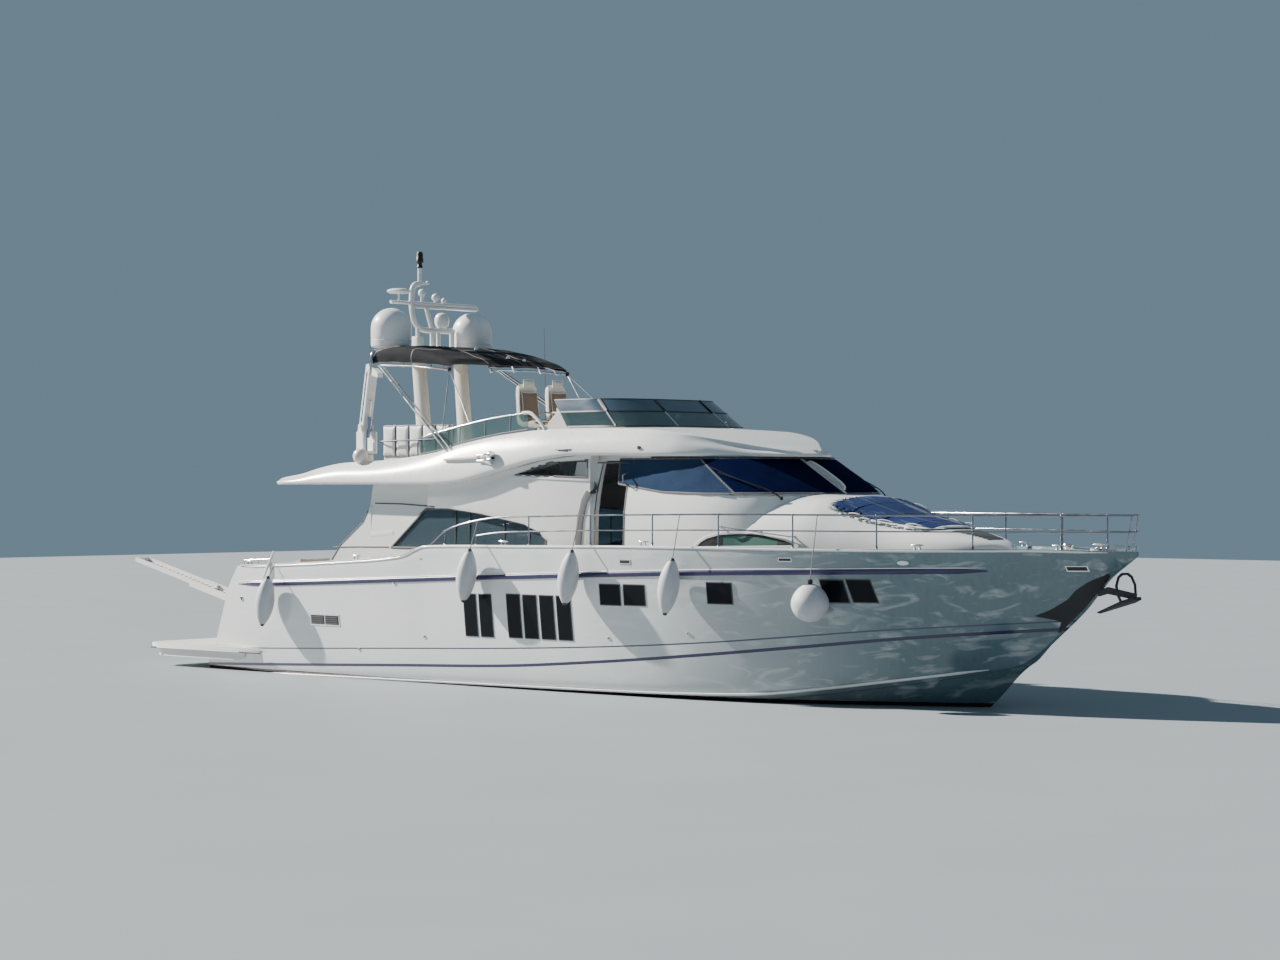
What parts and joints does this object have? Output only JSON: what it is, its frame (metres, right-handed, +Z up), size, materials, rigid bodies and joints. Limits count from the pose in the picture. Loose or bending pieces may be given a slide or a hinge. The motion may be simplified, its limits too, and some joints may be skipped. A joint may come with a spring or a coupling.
{
  "type": "motor yacht",
  "caption": "Flybridge motor yacht afloat: decked hull, glazed deckhouse, bimini, antenna arch, deck crane, boarding bridge, rails, shafts and rudders.",
  "frame": {"origin": "on the waterline, on the centreline, at the middle of the length overall of hull and bathing platform", "axes": "+X towards the bow, +Y to port, +Z up"},
  "size_m": [26.0078, 6.2391, 10.627],
  "materials": {
    "gelcoat": "glossy white moulded shell",
    "teak_deck": "sun-bleached laid planks with dark seams",
    "tinted_glass": "blue-green tinted panes",
    "stainless": "polished tube",
    "bronze": "cast and dull",
    "canopy_cloth": "grey-taupe woven acrylic",
    "upholstery": "cream marine vinyl",
    "sunpad_cover": "blue-grey woven cover",
    "fender_skin": "grey-white inflated vinyl",
    "interior_wood": "satin varnished",
    "dark_trim": "black moulded trim"
  },
  "bodies": {
    "root": {"hull": "gelcoat", "deck_moulding": "teak_deck", "deckhouse": "gelcoat", "coachroof": "gelcoat", "bathing_platform": "teak_deck", "fly_deck": "gelcoat", "saloon_aft_screen": "tinted_glass", "fly_aft_rail": "stainless", "fly_windscreen": "tinted_glass", "fly_console": "gelcoat", "helm_seat_starboard": "upholstery", "helm_seat_port": "upholstery", "fly_sofa": "upholstery", "fly_bar": "gelcoat", "fly_stair": "gelcoat", "bimini_canopy": "canopy_cloth", "bimini_frame": "stainless", "antenna_arch": "gelcoat", "mast": "gelcoat", "crane_base": "gelcoat", "bridge_bracket": "stainless", "ball_fender": "fender_skin", "anchor": "stainless", "windlass": "stainless", "foredeck_sunpad": "sunpad_cover", "cockpit_seat": "upholstery", "saloon_interior": "interior_wood", "wheelhouse_console": "dark_trim", "fender_1": "fender_skin", "fender_2": "fender_skin", "fender_3": "fender_skin", "fender_4": "fender_skin", "saloon_glass_starboard": "tinted_glass", "saloon_glass_port": "tinted_glass", "wheelhouse_glass_starboard": "tinted_glass", "wheelhouse_glass_port": "tinted_glass", "windscreen_starboard": "tinted_glass", "windscreen_port": "tinted_glass", "bow_rail_starboard": "stainless", "bow_rail_port": "stainless", "fly_side_screen_starboard": "tinted_glass", "fly_side_screen_port": "tinted_glass", "dome_starboard": "gelcoat", "dome_port": "gelcoat", "shaft_bracket_starboard": "bronze", "shaft_bracket_port": "bronze"},
    "starboard_door": {"side_door_starboard": "tinted_glass"},
    "port_door": {"side_door_port": "tinted_glass"},
    "aft_door": {"saloon_door_leaf": "tinted_glass"},
    "crane_slew_body": {"crane_head": "gelcoat"},
    "crane_boom_body": {"crane_boom": "gelcoat"},
    "crane_cylinder_body": {"crane_cylinder": "stainless"},
    "crane_rod_body": {"crane_rod": "stainless"},
    "bridge_body": {"bridge_outer": "gelcoat"},
    "bridge_inner_body": {"bridge_inner": "gelcoat"},
    "starboard_propeller": {"propeller_starboard": "bronze"},
    "port_propeller": {"propeller_port": "bronze"},
    "starboard_rudder": {"rudder_starboard": "bronze"},
    "port_rudder": {"rudder_port": "bronze"},
    "hatch": {"foredeck_hatch": "gelcoat"}
  },
  "joints": [
    {"name": "starboard_door_slide", "type": "slide", "parent": "root", "child": "starboard_door", "axis": [1, 0, 0], "range_m": [0, 0.76]},
    {"name": "port_door_slide", "type": "slide", "parent": "root", "child": "port_door", "axis": [1, 0, 0], "range_m": [-0.76, 0]},
    {"name": "aft_door_slide", "type": "slide", "parent": "root", "child": "aft_door", "axis": [0, 1, 0], "range_m": [0, 0.88]},
    {"name": "crane_slew", "type": "hinge", "parent": "root", "child": "crane_slew_body", "pos_m": [-5.35, -2.08, 4.66], "axis": [0, 0, 1], "range_deg": [-180, 0]},
    {"name": "crane_luff", "type": "hinge", "parent": "crane_slew_body", "child": "crane_boom_body", "pos_m": [-5.40638, -2.05948, 5.2], "axis": [0.342, 0.9397, 0], "range_deg": [0, 61]},
    {"name": "crane_cylinder_swing", "type": "hinge", "parent": "crane_slew_body", "child": "crane_cylinder_body", "pos_m": [-5.29362, -2.10052, 5], "axis": [0.342, 0.9397, 0], "range_deg": [0, 53.1]},
    {"name": "crane_rod_slide", "type": "slide", "parent": "crane_cylinder_body", "child": "crane_rod_body", "axis": [-0.2126, 0.0774, -0.9741], "range_m": [0, 0.219]},
    {"name": "bridge_luff", "type": "hinge", "parent": "root", "child": "bridge_body", "pos_m": [-9.5, -1.25, 1.24], "axis": [0, 1, 0], "range_deg": [-23, 45]},
    {"name": "bridge_slide", "type": "slide", "parent": "bridge_body", "child": "bridge_inner_body", "axis": [0.9736, 0, -0.2283], "range_m": [0, 1.87]},
    {"name": "starboard_propeller_spin", "type": "hinge", "parent": "root", "child": "starboard_propeller", "pos_m": [-8.85, -1.15, -1.22], "axis": [0.9877, 0, 0.1564], "continuous": true},
    {"name": "port_propeller_spin", "type": "hinge", "parent": "root", "child": "port_propeller", "pos_m": [-8.85, 1.15, -1.22], "axis": [0.9877, 0, 0.1564], "continuous": true},
    {"name": "starboard_rudder_turn", "type": "hinge", "parent": "root", "child": "starboard_rudder", "pos_m": [-9.62, -1.15, -1], "axis": [0, 0, 1], "range_deg": [-35, 35]},
    {"name": "port_rudder_turn", "type": "hinge", "parent": "root", "child": "port_rudder", "pos_m": [-9.62, 1.15, -1], "axis": [0, 0, 1], "range_deg": [-35, 35]},
    {"name": "hatch_hinge", "type": "hinge", "parent": "root", "child": "hatch", "pos_m": [9.98, 0, 2.72], "axis": [0, -1, 0], "range_deg": [0, 100]}
  ],
  "couplings": [
    {"joint": "crane_cylinder_swing", "follows": "crane_luff", "ratio": 0.868},
    {"joint": "crane_rod_slide", "follows": "crane_luff", "m_per_rad": 0.204},
    {"joint": "port_rudder_turn", "follows": "starboard_rudder_turn", "ratio": 1}
  ]
}
